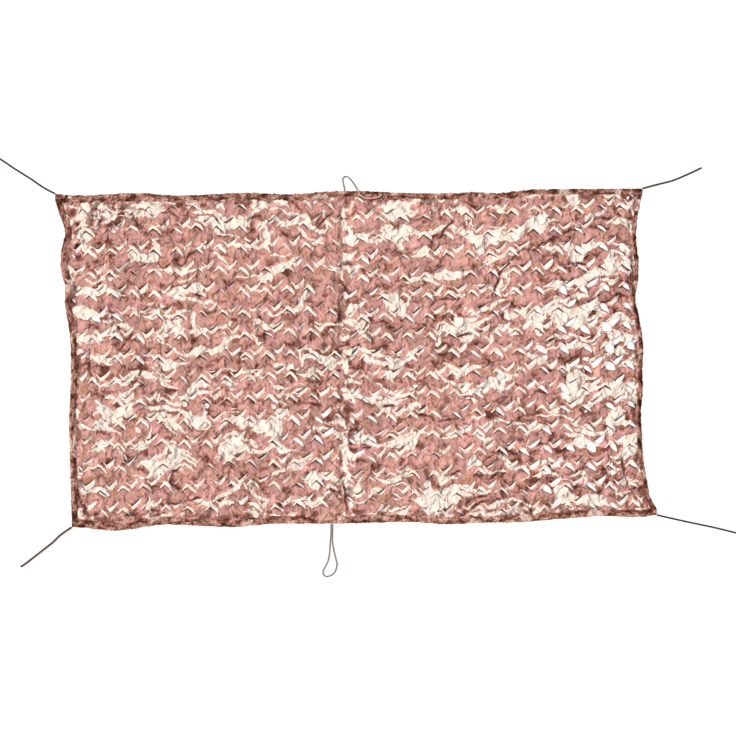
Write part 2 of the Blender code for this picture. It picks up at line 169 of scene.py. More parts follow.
# Cords, as points that the middle of the cord passes through: (x, y, height of its bed)
TIE = 0.007
THICK_TIE = 0.008
THIN_CORD = 0.006
TIE_SWELL = 1.3
LOOP_SWELL = 1.18
BRAID_STRANDS = 6
CORD_STEP = 0.0011  # between points along a cord
CORD_ROUND = 21  # points round it
TIES = {
    # node: (diameter, points)
    "tie_top_left": (
        TIE,
        (
            (-1.5478, 0.8538, 0), (-1.596, 0.8790, 0), (-1.678, 0.9335, 0), (-1.756, 0.9824, 0),
            (-1.821, 1.0262, 0), (-1.855, 1.0475, 0),
        ),
    ),
    "tie_top_right": (
        TIE,
        (
            (1.4745, 0.8817, 0), (1.543, 0.9000, 0), (1.633, 0.9237, 0), (1.704, 0.9531, 0),
            (1.780, 0.9886, 0),
        ),
    ),
    "tie_bottom_right": (
        TIE,
        (
            (1.5480, -0.7987, 0), (1.641, -0.8201, 0), (1.731, -0.8397, 0), (1.838, -0.8623, 0),
            (1.958, -0.8912, 0), (1.981, -0.8968, 0),
        ),
    ),
    "tie_bottom_left": (
        THICK_TIE,
        (
            (-1.4624, -0.8613, 0), (-1.498, -0.8850, 0), (-1.523, -0.9035, 0),
            (-1.565, -0.9437, 0), (-1.596, -0.9674, 0), (-1.622, -0.9880, 0),
            (-1.663, -1.0199, 0), (-1.696, -1.0456, 0), (-1.726, -1.0662, 0),
        ),
    ),
}
ON_BINDING = 0.0100  # a cord's bed on the binding's crown, by the seam
LOOP_TOP = (
    (-0.0592, 0.8697, 0), (-0.0600, 0.8850, 0), (-0.0662, 0.9120, 0), (-0.0672, 0.9320, 0),
    (-0.0580, 0.9430, 0), (-0.0440, 0.9420, 0), (-0.0280, 0.9280, 0.0010),
    (-0.0080, 0.9000, 0.0070), (0.0085, 0.8720, ON_BINDING), (0.0200, 0.8520, ON_BINDING),
    (0.0365, 0.8365, ON_BINDING), (0.0600, 0.8300, ON_BINDING), (0.0950, 0.8310, ON_BINDING),
    (0.1200, 0.8380, ON_BINDING), (0.1320, 0.8490, ON_BINDING), (0.1325, 0.8600, ON_BINDING),
)
LOOP_BOTTOM = (
    (-0.1282, -0.8437, 0), (-0.1288, -0.8920, 0), (-0.1318, -0.9334, 0), (-0.1345, -0.9694, 0),
    (-0.1375, -1.0050, 0), (-0.1450, -1.0380, 0), (-0.1591, -1.0673, 0), (-0.1690, -1.0880, 0),
    (-0.1672, -1.1060, 0), (-0.1520, -1.1155, 0), (-0.1300, -1.1100, 0), (-0.1080, -1.0900, 0),
    (-0.0985, -1.0580, 0), (-0.1056, -1.0168, 0), (-0.1160, -0.9720, 0), (-0.1215, -0.9334, 0),
    (-0.1210, -0.8920, 0), (-0.1200, -0.8436, 0),
)

FLOOR = 90  # half the floor's side
EYE = (0.0623, -0.0424, 9)
HALF_VIEW = 1.8952  # half the width of ground that the camera sees


def ease(t):
    """0 below 0, 1 above 1 and 3t^2 - 2t^3 between."""
    t = np.clip(t, 0, 1)
    return t * t * (3 - 2 * t)


def bell(t):
    """exp(-t^2), which is 1 at 0 and almost nothing past 2."""
    return np.exp(-(t ** 2))


def smooth(rows, at):
    """A cubic curve through the rows (place, value), each slope taken from the neighbours."""
    place, value = np.array(rows, float).T
    slope = np.gradient(value, place)
    at = np.clip(at, place[0], place[-1])
    i = np.clip(np.searchsorted(place, at) - 1, 0, len(place) - 2)
    step = place[i + 1] - place[i]
    t = (at - place[i]) / step
    start = (1 + 2 * t) * (1 - t) ** 2 * value[i] + t * (1 - t) ** 2 * step * slope[i]
    end = t * t * (3 - 2 * t) * value[i + 1] + t * t * (t - 1) * step * slope[i + 1]
    return start + end


def bumps(x, y, seed, sizes):
    """A sum of plane waves in random directions. sizes holds (wavelength, height) pairs."""
    chance = np.random.default_rng(seed)
    total = np.zeros(np.broadcast(x, y).shape)
    for wavelength, height in sizes:
        for turn in chance.uniform(0, 2 * np.pi, 3):
            along = (x * np.cos(turn) + y * np.sin(turn)) / wavelength
            total += height / 3 * np.sin(2 * np.pi * (along + chance.uniform()))
    return total


def spread(table, x, y):
    """The sum of soft round spots: amount * exp(-(distance / reach)^2) for each."""
    return sum(
        amount * np.exp(-((x - at) ** 2 + (y - up) ** 2) / reach**2)
        for at, up, reach, amount in table
    )


def facets(x, y, seed, sizes):
    """Flat three-sided facets, as in crumpled cloth: random heights on a lattice of triangles,
    with a plane over each triangle. sizes holds (side, height) pairs."""
    chance = np.random.default_rng(seed)
    total = np.zeros(np.broadcast(x, y).shape)
    for side, height in sizes:
        table = chance.uniform(-height, height, (64, 64))
        u, v = x / side + 0.5 * y / side, y / side
        i, j = np.floor(u).astype(int), np.floor(v).astype(int)
        u, v = u - i, v - j
        near, far = table[i % 64, j % 64], table[(i + 1) % 64, (j + 1) % 64]
        beside, over = table[(i + 1) % 64, j % 64], table[i % 64, (j + 1) % 64]
        under = near + u * (beside - near) + v * (far - beside)
        above = near + v * (over - near) + u * (far - over)
        total += np.where(u > v, under, above)
    return total


# ---------------------------------------------------------------- the net's outline


def side_lines(side):
    """The outer and inner edge of a binding on the ground, as (place along it, edge) rows.

    They are the pairs of points of the folded strip's underside, sorted along the side.
    """
    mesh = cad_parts[f"binding_{side}"].data
    points = np.empty(len(mesh.vertices) * 3, np.float32)
    mesh.vertices.foreach_get("co", points)
    points = np.unique(points.reshape(-1, 3).round(5), axis=0)
    ground = points[points[:, 2] < 0.0002][:, :2].astype(float)
    if side not in LONG_SIDES:
        ground = ground[:, ::-1]
    pairs = ground[np.argsort(ground[:, 0])].reshape(-1, 2, 2)
    order = np.argsort(pairs[:, :, 1] * INWARDS[side], axis=1)
    pairs = np.take_along_axis(pairs, order[:, :, None], axis=1)
    return pairs[:, 0], pairs[:, 1]


LINES = {side: side_lines(side) for side in SIDES}


def edge(side, at, inner=False):
    """Where the net's outer edge, or its binding's inner one, lies on a side."""
    return smooth(LINES[side][int(inner)], at)


def edge_distance(x, y):
    """How far a point lies inside the four bindings."""
    return np.minimum.reduce(
        [
            edge("top", x, True) - y,
            y - edge("bottom", x, True),
            x - edge("left", y, True),
            edge("right", y, True) - x,
        ]
    )


def billow(x, y):
    """The solids' shallow swells: the upper halves of two crossed sine waves."""
    wave = np.sin(2 * np.pi * (x / BILLOW_LENGTH + 0.3 * y))
    wave = wave * np.sin(2 * np.pi * (y / BILLOW_WIDTH + 0.15 * x))
    inside = np.minimum(edge_distance(x, y), np.abs(x - SEAM_X) - LAP / 2)
    return BILLOW * np.maximum(wave, 0) * ease(inside / BILLOW_FADE)


# ---------------------------------------------------------------- meshes and materials


def add_object(name, data):
    """An object of this data at the origin, linked to the scene."""
    made = bpy.data.objects.new(name, data)
    bpy.context.scene.collection.objects.link(made)
    return made


def add_piece(name, points, faces, material, uv=None, attributes=None):
    """A smooth mesh object at the origin, riding on the net's one body."""
    mesh = bpy.data.meshes.new(name)
    mesh.from_pydata(np.asarray(points).reshape(-1, 3).tolist(), [], np.asarray(faces).tolist())
    for key, values in (attributes or {}).items():
        layer = mesh.attributes.new(key, "FLOAT", "POINT")
        layer.data.foreach_set("value", np.asarray(values, np.float32).ravel())
    if uv is not None:
        corners = np.empty(len(mesh.loops), np.int32)
        mesh.loops.foreach_get("vertex_index", corners)
        layer = mesh.uv_layers.new(name="UVMap")
        layer.data.foreach_set("uv", np.asarray(uv, np.float32).reshape(-1, 2)[corners].ravel())
    mesh.polygons.foreach_set("use_smooth", np.ones(len(mesh.polygons), bool))
    mesh.materials.append(material)
    piece = add_object(name, mesh)
    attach(piece, "root")
    return piece


def colour(code):
    """An sRGB hex value as linear red, green, blue and alpha."""
    parts = np.array([int(code[i : i + 2], 16) for i in (1, 3, 5)]) / 255
    linear = np.where(parts <= 0.04045, parts / 12.92, ((parts + 0.055) / 1.055) ** 2.4)
    return (*linear.tolist(), 1)


def feed(node, inputs):
    """Give a node's inputs their values, or the sockets that feed them."""
    for key, value in inputs.items():
        if isinstance(value, bpy.types.NodeSocket):
            node.id_data.links.new(value, node.inputs[key])
        else:
            node.inputs[key].default_value = value


def add_node(tree, kind, inputs, out, stops=(), **settings):
    """Add a shader node with its settings, its inputs and a colour ramp's stops of (place,
    colour), and give back the output named out."""
    made = tree.nodes.new("ShaderNode" + kind)
    for key, value in settings.items():
        setattr(made, key, value)
    for i, (place, shade) in enumerate(stops):
        ramp = made.color_ramp.elements
        stop = ramp[i] if i < 2 else ramp.new(1)
        stop.position, stop.color = place, shade
    feed(made, inputs)
    return made.outputs[out]


def new_material(name):
    """An empty Principled material: (material, its tree, its shader)."""
    material = bpy.data.materials.new(name)
    material.use_nodes = True
    return material, material.node_tree, material.node_tree.nodes["Principled BSDF"]


def creased(tree, cut, density):
    """The normal of crumpled woven cloth, and a tone of painted shade for each coarse and each
    fine facet.

    The facets are four-sided pyramids, density to the metre and then twice as many, under a
    plain weave. Threads are 0.5 mm apart in the real cloth, which is too fine to show, so they
    are drawn 3 mm apart.
    """
    push = add_node(tree, "TexNoise", {"Vector": cut, "Scale": 12, "Detail": 0}, "Color")
    pushed = {0: push, 1: (0.05, 0.05, 0), 2: cut}
    pushed = add_node(tree, "VectorMath", pushed, "Vector", operation="MULTIPLY_ADD")
    turned = add_node(tree, "Mapping", {"Vector": pushed, "Rotation": (0, 0, 0.55)}, "Vector")
    facet = {"kind": "TexVoronoi", "out": "Distance", "distance": "CHEBYCHEV"}
    coarse = add_node(tree, inputs={"Vector": pushed, "Scale": density}, **facet)
    fine = add_node(tree, inputs={"Vector": turned, "Scale": 2 * density}, **facet)
    both = add_node(tree, "Math", {0: fine, 1: 0.4, 2: coarse}, "Value", operation="MULTIPLY_ADD")
    thread = {"Vector": cut, "Scale": 105}
    warp = add_node(tree, "TexWave", thread, "Fac", bands_direction="X")
    weft = add_node(tree, "TexWave", thread, "Fac", bands_direction="Y")
    weave = add_node(tree, "Math", {0: warp, 1: weft}, "Value", operation="MULTIPLY")
    crumpled = {"Height": both, "Strength": 1.0, "Distance": 0.014}
    crumpled = add_node(tree, "Bump", crumpled, "Normal")
    woven = {"Height": weave, "Strength": 0.7, "Distance": 0.0006, "Normal": crumpled}
    woven = add_node(tree, "Bump", woven, "Normal")
    return woven, coarse.node.outputs["Color"], fine.node.outputs["Color"]


def printed_oxford(settings):
    """Printed oxford cloth with a matt coating: crisp-edged browns and pinks under cream splashes
    with spiky ends. It shows no gloss, and its pale reverse shows where an edge turns up, with a
    painted highlight on the raised lips. Painted shade darkens its pockets, crease troughs, facets
    and leaves."""
    material, tree, shader = new_material("printed_oxford_cloth")
    cut = add_node(tree, "UVMap", {}, "UV", uv_map="UVMap")
    more, leaf, lip, deep = (
        add_node(tree, "Attribute", {}, "Fac", attribute_name=name)
        for name in ("more", "leaf", "lip", "deep")
    )
    # The print's place is pushed about over 15 mm, so that its strokes end in spikes, over
    # 60 mm, which makes them uneven, and over 200 mm, so that they slant both ways
    places = [cut]
    for scale, reach in ((65, (0.024, 0.016, 0)), (17, (0.06, 0.055, 0)), (5, (0.16, 0.26, 0))):
        push = add_node(tree, "TexNoise", {"Vector": cut, "Scale": scale, "Detail": 1}, "Color")
        moved = {0: push, 1: reach, 2: places[-1]}
        places.append(add_node(tree, "VectorMath", moved, "Vector", operation="MULTIPLY_ADD"))
    stretched, laid, drawn = (
        add_node(tree, "Mapping", {"Vector": places[pushes], "Scale": scale}, "Vector")
        for pushes, scale in ((2, (0.75, 1.15, 1)), (3, (0.36, 1.45, 1)), (3, (0.42, 2.4, 1)))
    )
    # The ground: five tones in patches 20 to 60 mm across, darker where there is more cream
    patches = {"Vector": stretched, "Scale": 21, "Detail": 2, "Roughness": 0.6}
    patches = add_node(tree, "TexNoise", patches, "Fac")
    tone = {0: more, 1: -2.0, 2: patches}
    tone = add_node(tree, "Math", tone, "Value", operation="MULTIPLY_ADD")
    stops = [
        (0.34, settings.darkest), (0.36, settings.dark), (0.43, settings.dark),
        (0.45, settings.brown), (0.53, settings.brown), (0.55, settings.light),
        (0.60, settings.light), (0.62, settings.tan),
    ]
    ground = add_node(tree, "ValToRGB", {"Fac": tone}, "Color", stops)
    # A rosy tone printed over part of it
    rosy = {"Vector": stretched, "Scale": 15, "Detail": 2, "Roughness": 0.6, "W": 4.0}
    rosy = add_node(tree, "TexNoise", rosy, "Fac", noise_dimensions="4D")
    over = {"Value": rosy, "From Min": 0.53, "From Max": 0.55, "To Max": 0.75}
    over = add_node(tree, "MapRange", over, "Result")
    printed = {"Factor": over, "A": ground, "B": settings.rosy}
    ground = add_node(tree, "Mix", printed, "Result", data_type="RGBA")
    # The coarse weave takes the ink unevenly, over 6 mm here so that it shows, and each crumpled
    # facet and each leaf between the slits gets its own tone of painted shade
    uneven = {"Vector": cut, "Scale": 170, "Detail": 2, "Roughness": 0.7}
    uneven = add_node(tree, "TexNoise", uneven, "Fac")
    normal, coarse, fine = creased(tree, cut, 28)
    for uneven_ink_and_shade, limits in (
        (uneven, (0.3, 0.7, 0.82, 1.15)), (coarse, (0, 1, 0.88, 1.12)),
        (fine, (0, 1, 0.91, 1.09)), (leaf, (0, 1, 0.80, 1.20)),
    ):
        uneven_ink_and_shade = dict(zip(("From Min", "From Max", "To Min", "To Max"), limits), Value=uneven_ink_and_shade)
        shaded = {0: ground, "Scale": add_node(tree, "MapRange", uneven_ink_and_shade, "Result")}
        ground = add_node(tree, "VectorMath", shaded, "Vector", operation="SCALE")
    # Cream splashes, 60 to 300 mm long, with more of them towards the right end, and thin
    # streaks beside them
    splash = {"Vector": laid, "Scale": 12.5, "Detail": 1.5, "Roughness": 0.5, "W": 9.0}
    splash = add_node(tree, "TexNoise", splash, "Fac", noise_dimensions="4D")
    level = {"Vector": drawn, "Scale": 10, "Detail": 1, "W": 4.0}
    level = add_node(tree, "TexNoise", level, "Fac", noise_dimensions="4D")
    for other, joined in ((SPLASH_FROM - STREAK_FROM, "ADD"), (splash, "MAXIMUM"), (more, "ADD")):
        level = add_node(tree, "Math", {0: level, 1: other}, "Value", operation=joined)
    # The cream, then the pale reverse that the cut edges show, with a painted highlight on the
    # raised lips, then painted shade in the pockets under each lip and in the crease troughs
    for mask, start, end, over in (
        (level, SPLASH_FROM, SPLASH_FROM + 0.006, settings.cream),
        (lip, 0.30, 0.50, settings.reverse),
        (deep, 0.15, 0.75, settings.painted_shade),
    ):
        mask = {"Value": mask, "From Min": start, "From Max": end}
        mask = add_node(tree, "MapRange", mask, "Result")
        printed = {"Factor": mask, "A": ground, "B": over}
        ground = add_node(tree, "Mix", printed, "Result", data_type="RGBA")
    rubbed = {"Value": uneven, "From Min": 0.3, "From Max": 0.7, "To Min": 0.64, "To Max": 0.8}
    rubbed = add_node(tree, "MapRange", rubbed, "Result")
    feed(shader, {"Base Color": ground, "Roughness": rubbed, "Normal": normal})
    feed(shader, {"Specular IOR Level": 0.12})
    return material


def binding_cloth(settings):
    """The same oxford cloth from the dark parts of its print, folded and crumpled: dark speckles
    and a few cream splashes that cross the strip."""
    material, tree, shader = new_material("folded_oxford_binding")
    cut = add_node(tree, "UVMap", {}, "UV", uv_map="UVMap")
    push = {"Vector": cut, "Scale": 60, "Detail": 2, "Roughness": 0.6}
    push = add_node(tree, "TexNoise", push, "Fac")
    spiky = {0: push.node.outputs["Color"], 1: (0.035, 0.022, 0), 2: cut}
    spiky = add_node(tree, "VectorMath", spiky, "Vector", operation="MULTIPLY_ADD")
    drawn = add_node(tree, "Mapping", {"Vector": spiky, "Scale": (0.5, 1, 1)}, "Vector")
    blotch = {"Vector": drawn, "Scale": 36, "Detail": 2, "Roughness": 0.6}
    blotch = add_node(tree, "TexNoise", blotch, "Fac")
    tone = add_node(tree, "Attribute", {}, "Fac", attribute_name="tone")
    tone = add_node(tree, "Math", {0: tone, 1: blotch}, "Value", operation="ADD")
    stops = [
        (0.37, settings.darkest), (0.41, settings.dark), (0.48, settings.dark),
        (0.50, settings.brown), (0.59, settings.brown), (0.61, settings.pale),
    ]
    ground = add_node(tree, "ValToRGB", {"Fac": tone}, "Color", stops)
    splash = {"Vector": spiky, "Scale": 8.5, "Detail": 2, "Roughness": 0.6, "W": 7.3}
    splash = add_node(tree, "TexNoise", splash, "Fac", noise_dimensions="4D")
    cream = {"Value": splash, "From Min": 0.60, "From Max": 0.61}
    cream = add_node(tree, "MapRange", cream, "Result")
    printed = {"Factor": cream, "A": ground, "B": settings.cream}
    printed = add_node(tree, "Mix", printed, "Result", data_type="RGBA")
    rubbed = {"Value": push, "From Min": 0.3, "From Max": 0.7, "To Min": 0.66, "To Max": 0.84}
    rubbed = add_node(tree, "MapRange", rubbed, "Result")
    normal = creased(tree, cut, 45)[0]
    feed(shader, {"Base Color": printed, "Roughness": rubbed, "Normal": normal})
    feed(shader, {"Specular IOR Level": 0.12})
    return material


def sewing_thread(settings):
    """Bonded nylon thread, dark brown with a faint gloss."""
    material, tree, shader = new_material("nylon_thread")
    place = add_node(tree, "TexCoord", {}, "Object")
    noise = add_node(tree, "TexNoise", {"Vector": place, "Scale": 400}, "Fac")
    stops = [(0.35, settings.thread_dark), (0.65, settings.thread_light)]
    shade = add_node(tree, "ValToRGB", {"Fac": noise}, "Color", stops)
    rubbed = {"Value": noise, "To Min": 0.35, "To Max": 0.6}
    rubbed = add_node(tree, "MapRange", rubbed, "Result")
    feed(shader, {"Base Color": shade, "Roughness": rubbed})
    return material


def braided_cord(name, dark, light, settings):
    """Braided polypropylene cord: pale strand crowns over darker gaps, a melted black tip."""
    material, tree, shader = new_material(name)
    around = add_node(tree, "UVMap", {}, "UV", uv_map="UVMap")
    noise = add_node(tree, "TexNoise", {"Vector": around, "Scale": 120, "Detail": 3}, "Fac")
    shade = add_node(tree, "ValToRGB", {"Fac": noise}, "Color", [(0.38, dark), (0.62, light)])
    for mask, over in (("faded", settings.faded), ("tip", settings.melted)):
        mask = add_node(tree, "Attribute", {}, "Fac", attribute_name=mask)
        mixed = {"Factor": mask, "A": shade, "B": over}
        shade = add_node(tree, "Mix", mixed, "Result", data_type="RGBA")
    # Split-film fibres lie along the cord; they are drawn 0.5 mm apart
    fibres = add_node(tree, "Mapping", {"Vector": around, "Scale": (150, 2000, 1)}, "Vector")
    fibres = add_node(tree, "TexNoise", {"Vector": fibres, "Scale": 1, "Detail": 2}, "Fac")
    rubbed = {"Value": fibres, "To Min": 0.4, "To Max": 0.8}
    rubbed = add_node(tree, "MapRange", rubbed, "Result")
    bump = {"Height": fibres, "Strength": 0.6, "Distance": 0.0004}
    bump = add_node(tree, "Bump", bump, "Normal")
    feed(shader, {"Base Color": shade, "Roughness": rubbed, "Normal": bump})
    feed(shader, {"Specular IOR Level": 0.25})
    return material


# ---------------------------------------------------------------- the panels of slit cloth


def slit_line(s):
    """Height of a row's line, in cells, s cells past an arch's left end.

    Two legs, bowed by the power 1.45, meet at the arch's top; past the slit the line comes back
    on a smooth step.
    """
    short = PEAK - SHORT_DROP * (np.abs(TOP_AT - s) / TOP_AT) ** 1.45
    long = PEAK - LONG_DROP * (np.abs(s - TOP_AT) / (SLIT - TOP_AT)) ** 1.45
    back = PEAK - LONG_DROP + (LONG_DROP - SHORT_DROP) * ease((s - SLIT) / (1 - SLIT))
    return np.where(s < TOP_AT, short, np.where(s < SLIT, long, back))


def slack(x, y):
    """How far the cloth lets its slits open: 0.5 where it is pulled tight, more where the net
    lies loosely, and uneven over half a metre."""
    loose = 0.5 + spread(SLACK, x, y)
    return loose * (1 + bumps(x, y, 11, ((0.7, 0.22), (0.33, 0.25)))).clip(0.15, 1.7)


def lattice(name):
    """Rows and columns that cover a panel, in cells from its first arch."""
    width, height, rise, lean, x0, y0 = WEAVE[name]
    lo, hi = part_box(name)
    corners = np.array([(x, y) for x in (lo.x, hi.x) for y in (lo.y, hi.y)]) - (x0, y0)
    turn = np.array([(width, -height * lean), (width * rise, height)])
    cells = np.linalg.solve(turn, corners.T).T
    first, last = np.floor(cells.min(0) - 0.3), np.ceil(cells.max(0) + 0.3)
    columns = np.arange(round((last[0] - first[0]) * PER_CELL) + 1) / PER_CELL + first[0]
    rows = np.arange(2 * first[1], 2 * last[1] + 1).astype(int)
    return rows, columns


def gathered(x, y, inside):
    """How much the cloth is gathered and crumpled, 0 to 1: along the bindings, at the seam's
    right side and most of all in the top left corner."""
    along = bell((inside - 0.004) / 0.026) * (0.6 + bumps(x, y, 9, ((0.21, 0.6), (0.07, 0.6))))
    corner = np.exp(-(((x + 1.33) / 0.20) ** 2) - (((y - 0.74) / 0.085) ** 2))
    beside = bell((x - SEAM_X - 0.012) / 0.034)
    beside = beside * (0.5 + 0.3 * ease(-y / 0.5) + bumps(x, y, 15, ((0.11, 0.7), (0.05, 0.6))))
    return np.maximum.reduce([along, corner, beside]).clip(0, 1)


def folded(x, y):
    """The main creases: how far they raise or sink the cloth, and how much painted shade their
    troughs get.
    """
    rise, dark = 0 * x, 0 * x
    wander = facets(x, y, 21, ((0.045, 0.013), (0.02, 0.005)))
    broken = (1.05 + facets(x, y, 22, ((0.03, 0.8), (0.014, 0.4)))).clip(0, 1)
    for x0, y0, x1, y1, height in CREASES:
        length = math.hypot(x1 - x0, y1 - y0)
        along = ((x - x0) * (x1 - x0) + (y - y0) * (y1 - y0)) / length
        across = ((x - x0) * (y1 - y0) - (y - y0) * (x1 - x0)) / length
        past = np.abs(along - length / 2) - length / 2
        across = across + wander
        ends = bell(np.maximum(past, 0) / 0.012)
        rise = rise + height * ends * bell(across / 0.013)
        dark = np.maximum(dark, (height < 0) * ends * bell(across / 0.0075))
    return rise, dark * broken


def panel(name, material, settings):
    """One panel, strip by strip: each runs from one row of slits to the next.

    A strip's two edges are the facing lips of the rows under and over it, and the cloth between
    them is (1-t) of one and t of the other, plus what opens and lifts the lips, which fades with
    the square of the distance from them. Where a row isn't slit, its strips share their points.
    """
    width, height, rise, lean, x0, y0 = WEAVE[name]
    rows, columns = lattice(name)
    chance = np.random.default_rng(len(name))
    odd = rows % 2
    sign = np.where(odd, -1, 1)[:, None]
    base = (rows // 2 + odd * MIRROR_UP)[:, None]
    past = columns[None] - (odd * MIRROR_ALONG)[:, None]
    s, cell = past % 1, np.floor(past).astype(int)
    cell = cell - cell.min()
    own = np.arange(len(rows))[:, None], cell
    vary = chance.normal(size=(len(rows), cell.max() + 1, 5)).clip(-1.8, 1.8)[own]
    shades = chance.normal(size=(len(rows), cell.max() + 1)).clip(-1.5, 1.5)[own]
    x = np.broadcast_to(columns * width, s.shape)
    y = (base + sign * slit_line(s)) * height
    x_world = x0 + x - base * height * lean
    y_world = y0 + y + x * rise
    from_seam = np.abs(x_world - SEAM_X) - LAP / 2
    still_row = ease(edge_distance(x_world, y_world) / 0.03) * ease((from_seam - 0.002) / 0.022)
    crumple = bell((x_world - SEAM_X - 0.075) / 0.06) * (name == "panel_right")

    # How far each slit opens, and how high its lips stand
    q = np.clip(s / SLIT, 0, 1)
    slit = (s > 0) & (s < SLIT - 1e-9)
    start = np.where(sign > 0, 0.21, 0.13) - 0.02 * vary[..., 4]
    leg = np.clip((s - start) / (SLIT - start), 0, 1)
    lens = 3.5 * leg ** 0.75 * (1 - leg) ** (1.1 + 0.2 * vary[..., 1])
    lens = lens * np.where(sign > 0, 1, 0.72)
    gape = (1 + 0.5 * vary[..., 0] + 0.2 * crumple).clip(0, 1.8)
    opening = settings.opening * gape * slack(x_world, y_world) * still_row
    overlap = -LIP_OVERLAP * np.sin(np.pi * np.clip(s / 0.32, 0, 1))
    opening = (opening * lens + overlap * still_row) * slit
    slope = np.gradient(y, axis=1) / np.gradient(x, axis=1)
    normal = np.stack([-slope, np.ones_like(slope)], axis=-1) / np.hypot(slope, 1)[..., None]
    hump = np.sin(np.pi * q) ** 1.4 * slit
    dip = np.sin(np.pi * q ** 0.8) * slit
    lift = settings.lift * (1 + 0.3 * vary[..., 2] + 0.4 * crumple) * hump * still_row
    drop = settings.drop * (1 + 0.2 * vary[..., 3]) * dip * still_row
    apart = 0.5 * opening[..., None] * normal
    up_rise = np.where(sign > 0, lift, -drop)
    down_rise = np.where(sign > 0, -drop, lift)

    # Strips: (strip, step across it, column)
    even = np.linspace(0, 1, STRIP_ROWS + 1)
    t = (0.55 * even + 0.45 * (0.5 - 0.5 * np.cos(np.pi * even)))[None, :, None]
    low, high = (1 - t) ** 2, t ** 2

    def between(values):
        """(1-t) of a strip's lower row and t of its upper one."""
        return (1 - t) * values[:-1, None] + t * values[1:, None]

    px = between(x - base * height * lean)
    py = between(y + x * rise)
    px = px + low * apart[:-1, None, :, 0] - high * apart[1:, None, :, 0] + x0
    py = py + low * apart[:-1, None, :, 1] - high * apart[1:, None, :, 1] + y0
    waves = (0.42, settings.stray), (0.17, 0.6 * settings.stray)
    px = px + bumps(px, py, 3, waves)
    py = py + bumps(px, py, 4, waves)
    pz = low * up_rise[:-1, None] + high * down_rise[1:, None]
    # A diagonal valley joins the short legs across the wide strips, where the tongues are
    valley = between(past) - 0.12 + 0.02 * t
    sharp = 4 * np.abs(valley % 1 - 0.5) - 1
    fold = settings.fold * sharp * 4 * t * (1 - t) * (odd[:-1] == 1)[:, None, None]
    inside = edge_distance(px, py)
    seam = np.abs(px - SEAM_X) - LAP / 2
    still = ease(inside / 0.035) * ease(seam / 0.03)
    strayed = bumps(px, py, 6, ((0.11, 0.02),)), bumps(px, py, 7, ((0.13, 0.02),))
    creases = facets(px + strayed[0], py + strayed[1], 8, ((0.056, 0.0085), (0.026, 0.0042)))
    crowded = gathered(px, py, inside)
    finer = px + 0.6 * strayed[0], py + 0.6 * strayed[1]
    fine = facets(*finer, 18, ((0.026, 1.0), (0.014, 0.5)))
    raised, dark = folded(px, py)
    rough = 1 + 0.5 * ease((px - 0.7) / 0.5)
    level = creases * (rough + 0.4 * crowded) + 0.003 * crowded * fine + raised + settings.level
    level = level + bumps(px, py, 5, ((0.31, 0.004), (0.13, 0.002)))
    pz = (level + pz - fold) * still
    pz = TOP_HEIGHT * np.tanh(pz / TOP_HEIGHT)
    pz = np.maximum(pz, LEAST_HEIGHT) + BOUND_REST * (1 - ease(inside / 0.02)) + billow(px, py)
    if name == "panel_right":
        pz = pz + LAP_LIFT * (1 - np.clip(seam / LAP_RAMP, 0, 1))
        pucker = (1 + bumps(0 * px, py, 14, ((0.085, 0.9), (0.037, 0.9)))).clip(0, 2.2)
        pucker = pucker * bell((px - SEAM_X) / 0.018) * ease(inside / 0.03)
        pz = pz + PUCKER * pucker * (0.3 + 0.7 * ease(-py / 0.3))

    # The rim: points past it come back to it, and faces wholly past it go
    lap = SEAM_X - LAP / 2 + bumps(0 * px, py, 17, ((0.16, 0.006), (0.055, 0.004)))
    left = edge("left", py) + TUCK if name == "panel_left" else lap
    right = edge("right", py) - TUCK if name == "panel_right" else SEAM_X + LAP / 2
    foot, top = edge("bottom", px) + TUCK, edge("top", px) - TUCK
    out = (px < left) | (px > right) | (py < foot) | (py > top)
    px, py = np.clip(px, left, right), np.clip(py, foot, top)

    index = np.arange(px.size).reshape(px.shape)
    shared = ~slit[1:-1]
    index[1:, 0][shared] = index[:-1, -1][shared]
    a, b = index[:, :-1, :-1], index[:, :-1, 1:]
    c, d = index[:, 1:, 1:], index[:, 1:, :-1]
    faces = np.stack([a, b, c, d], axis=-1)
    gone = out[:, :-1, :-1] & out[:, :-1, 1:] & out[:, 1:, 1:] & out[:, 1:, :-1]
    faces = faces[~gone]
    # A pale band along each outer lip, thin on the short leg and broad on the long one: the
    # cloth's pale reverse, with a painted highlight on the raised lip
    rim = np.sin(np.pi * q) ** 0.3 * slit * still_row * (0.85 + 0.4 * vary[..., 2]).clip(0, 1)
    broad = LIP_BAND + LONG_LEG_BAND * ease((s - 0.12) / 0.16)
    upper, lower = np.where(sign > 0, 1, 0.1) * rim, np.where(sign > 0, 0.1, 1) * rim
    lip = upper[:-1, None] * bell(t * STRIP_SPAN / broad[:-1, None])
    lip = lip + lower[1:, None] * bell((1 - t) * STRIP_SPAN / broad[1:, None])
    # Painted shade: a dark pocket on the tongue under each lip, where the lip's shadow falls, and
    # a dark pinch past each slit's end, with more of both towards the right end
    shadier = 1 + ease((x_world - 0.7) / 0.5)
    hollow = slit * np.sin(np.pi * np.clip((s - 0.08) / 0.54, 0, 1)) ** 0.6
    hollow = hollow * still_row * (0.5 * shadier + 0.6 * vary[..., 3]).clip(0, 1.1)
    pinch = bell((s - SLIT - 0.015) / 0.045) * still_row
    pinch = 0.8 * pinch * (0.6 * shadier + 0.6 * vary[..., 0]).clip(0, 1)
    over, under = hollow * (sign < 0) + pinch, hollow * (sign > 0) + pinch
    deep = over[:-1, None] * bell(t * STRIP_SPAN / POCKET_BAND)
    deep = deep + under[1:, None] * bell((1 - t) * STRIP_SPAN / POCKET_BAND)
    # Where the cloth is gathered its valleys get painted shade and its ridges are paler, and the
    # troughs of the main creases get painted shade too
    deep = np.maximum(deep, (crowded * (0.25 - 1.8 * fine)).clip(0, 0.62))
    deep = np.maximum(deep, 0.95 * dark)
    lip = np.maximum(lip, crowded * (1.9 * fine - 0.38))
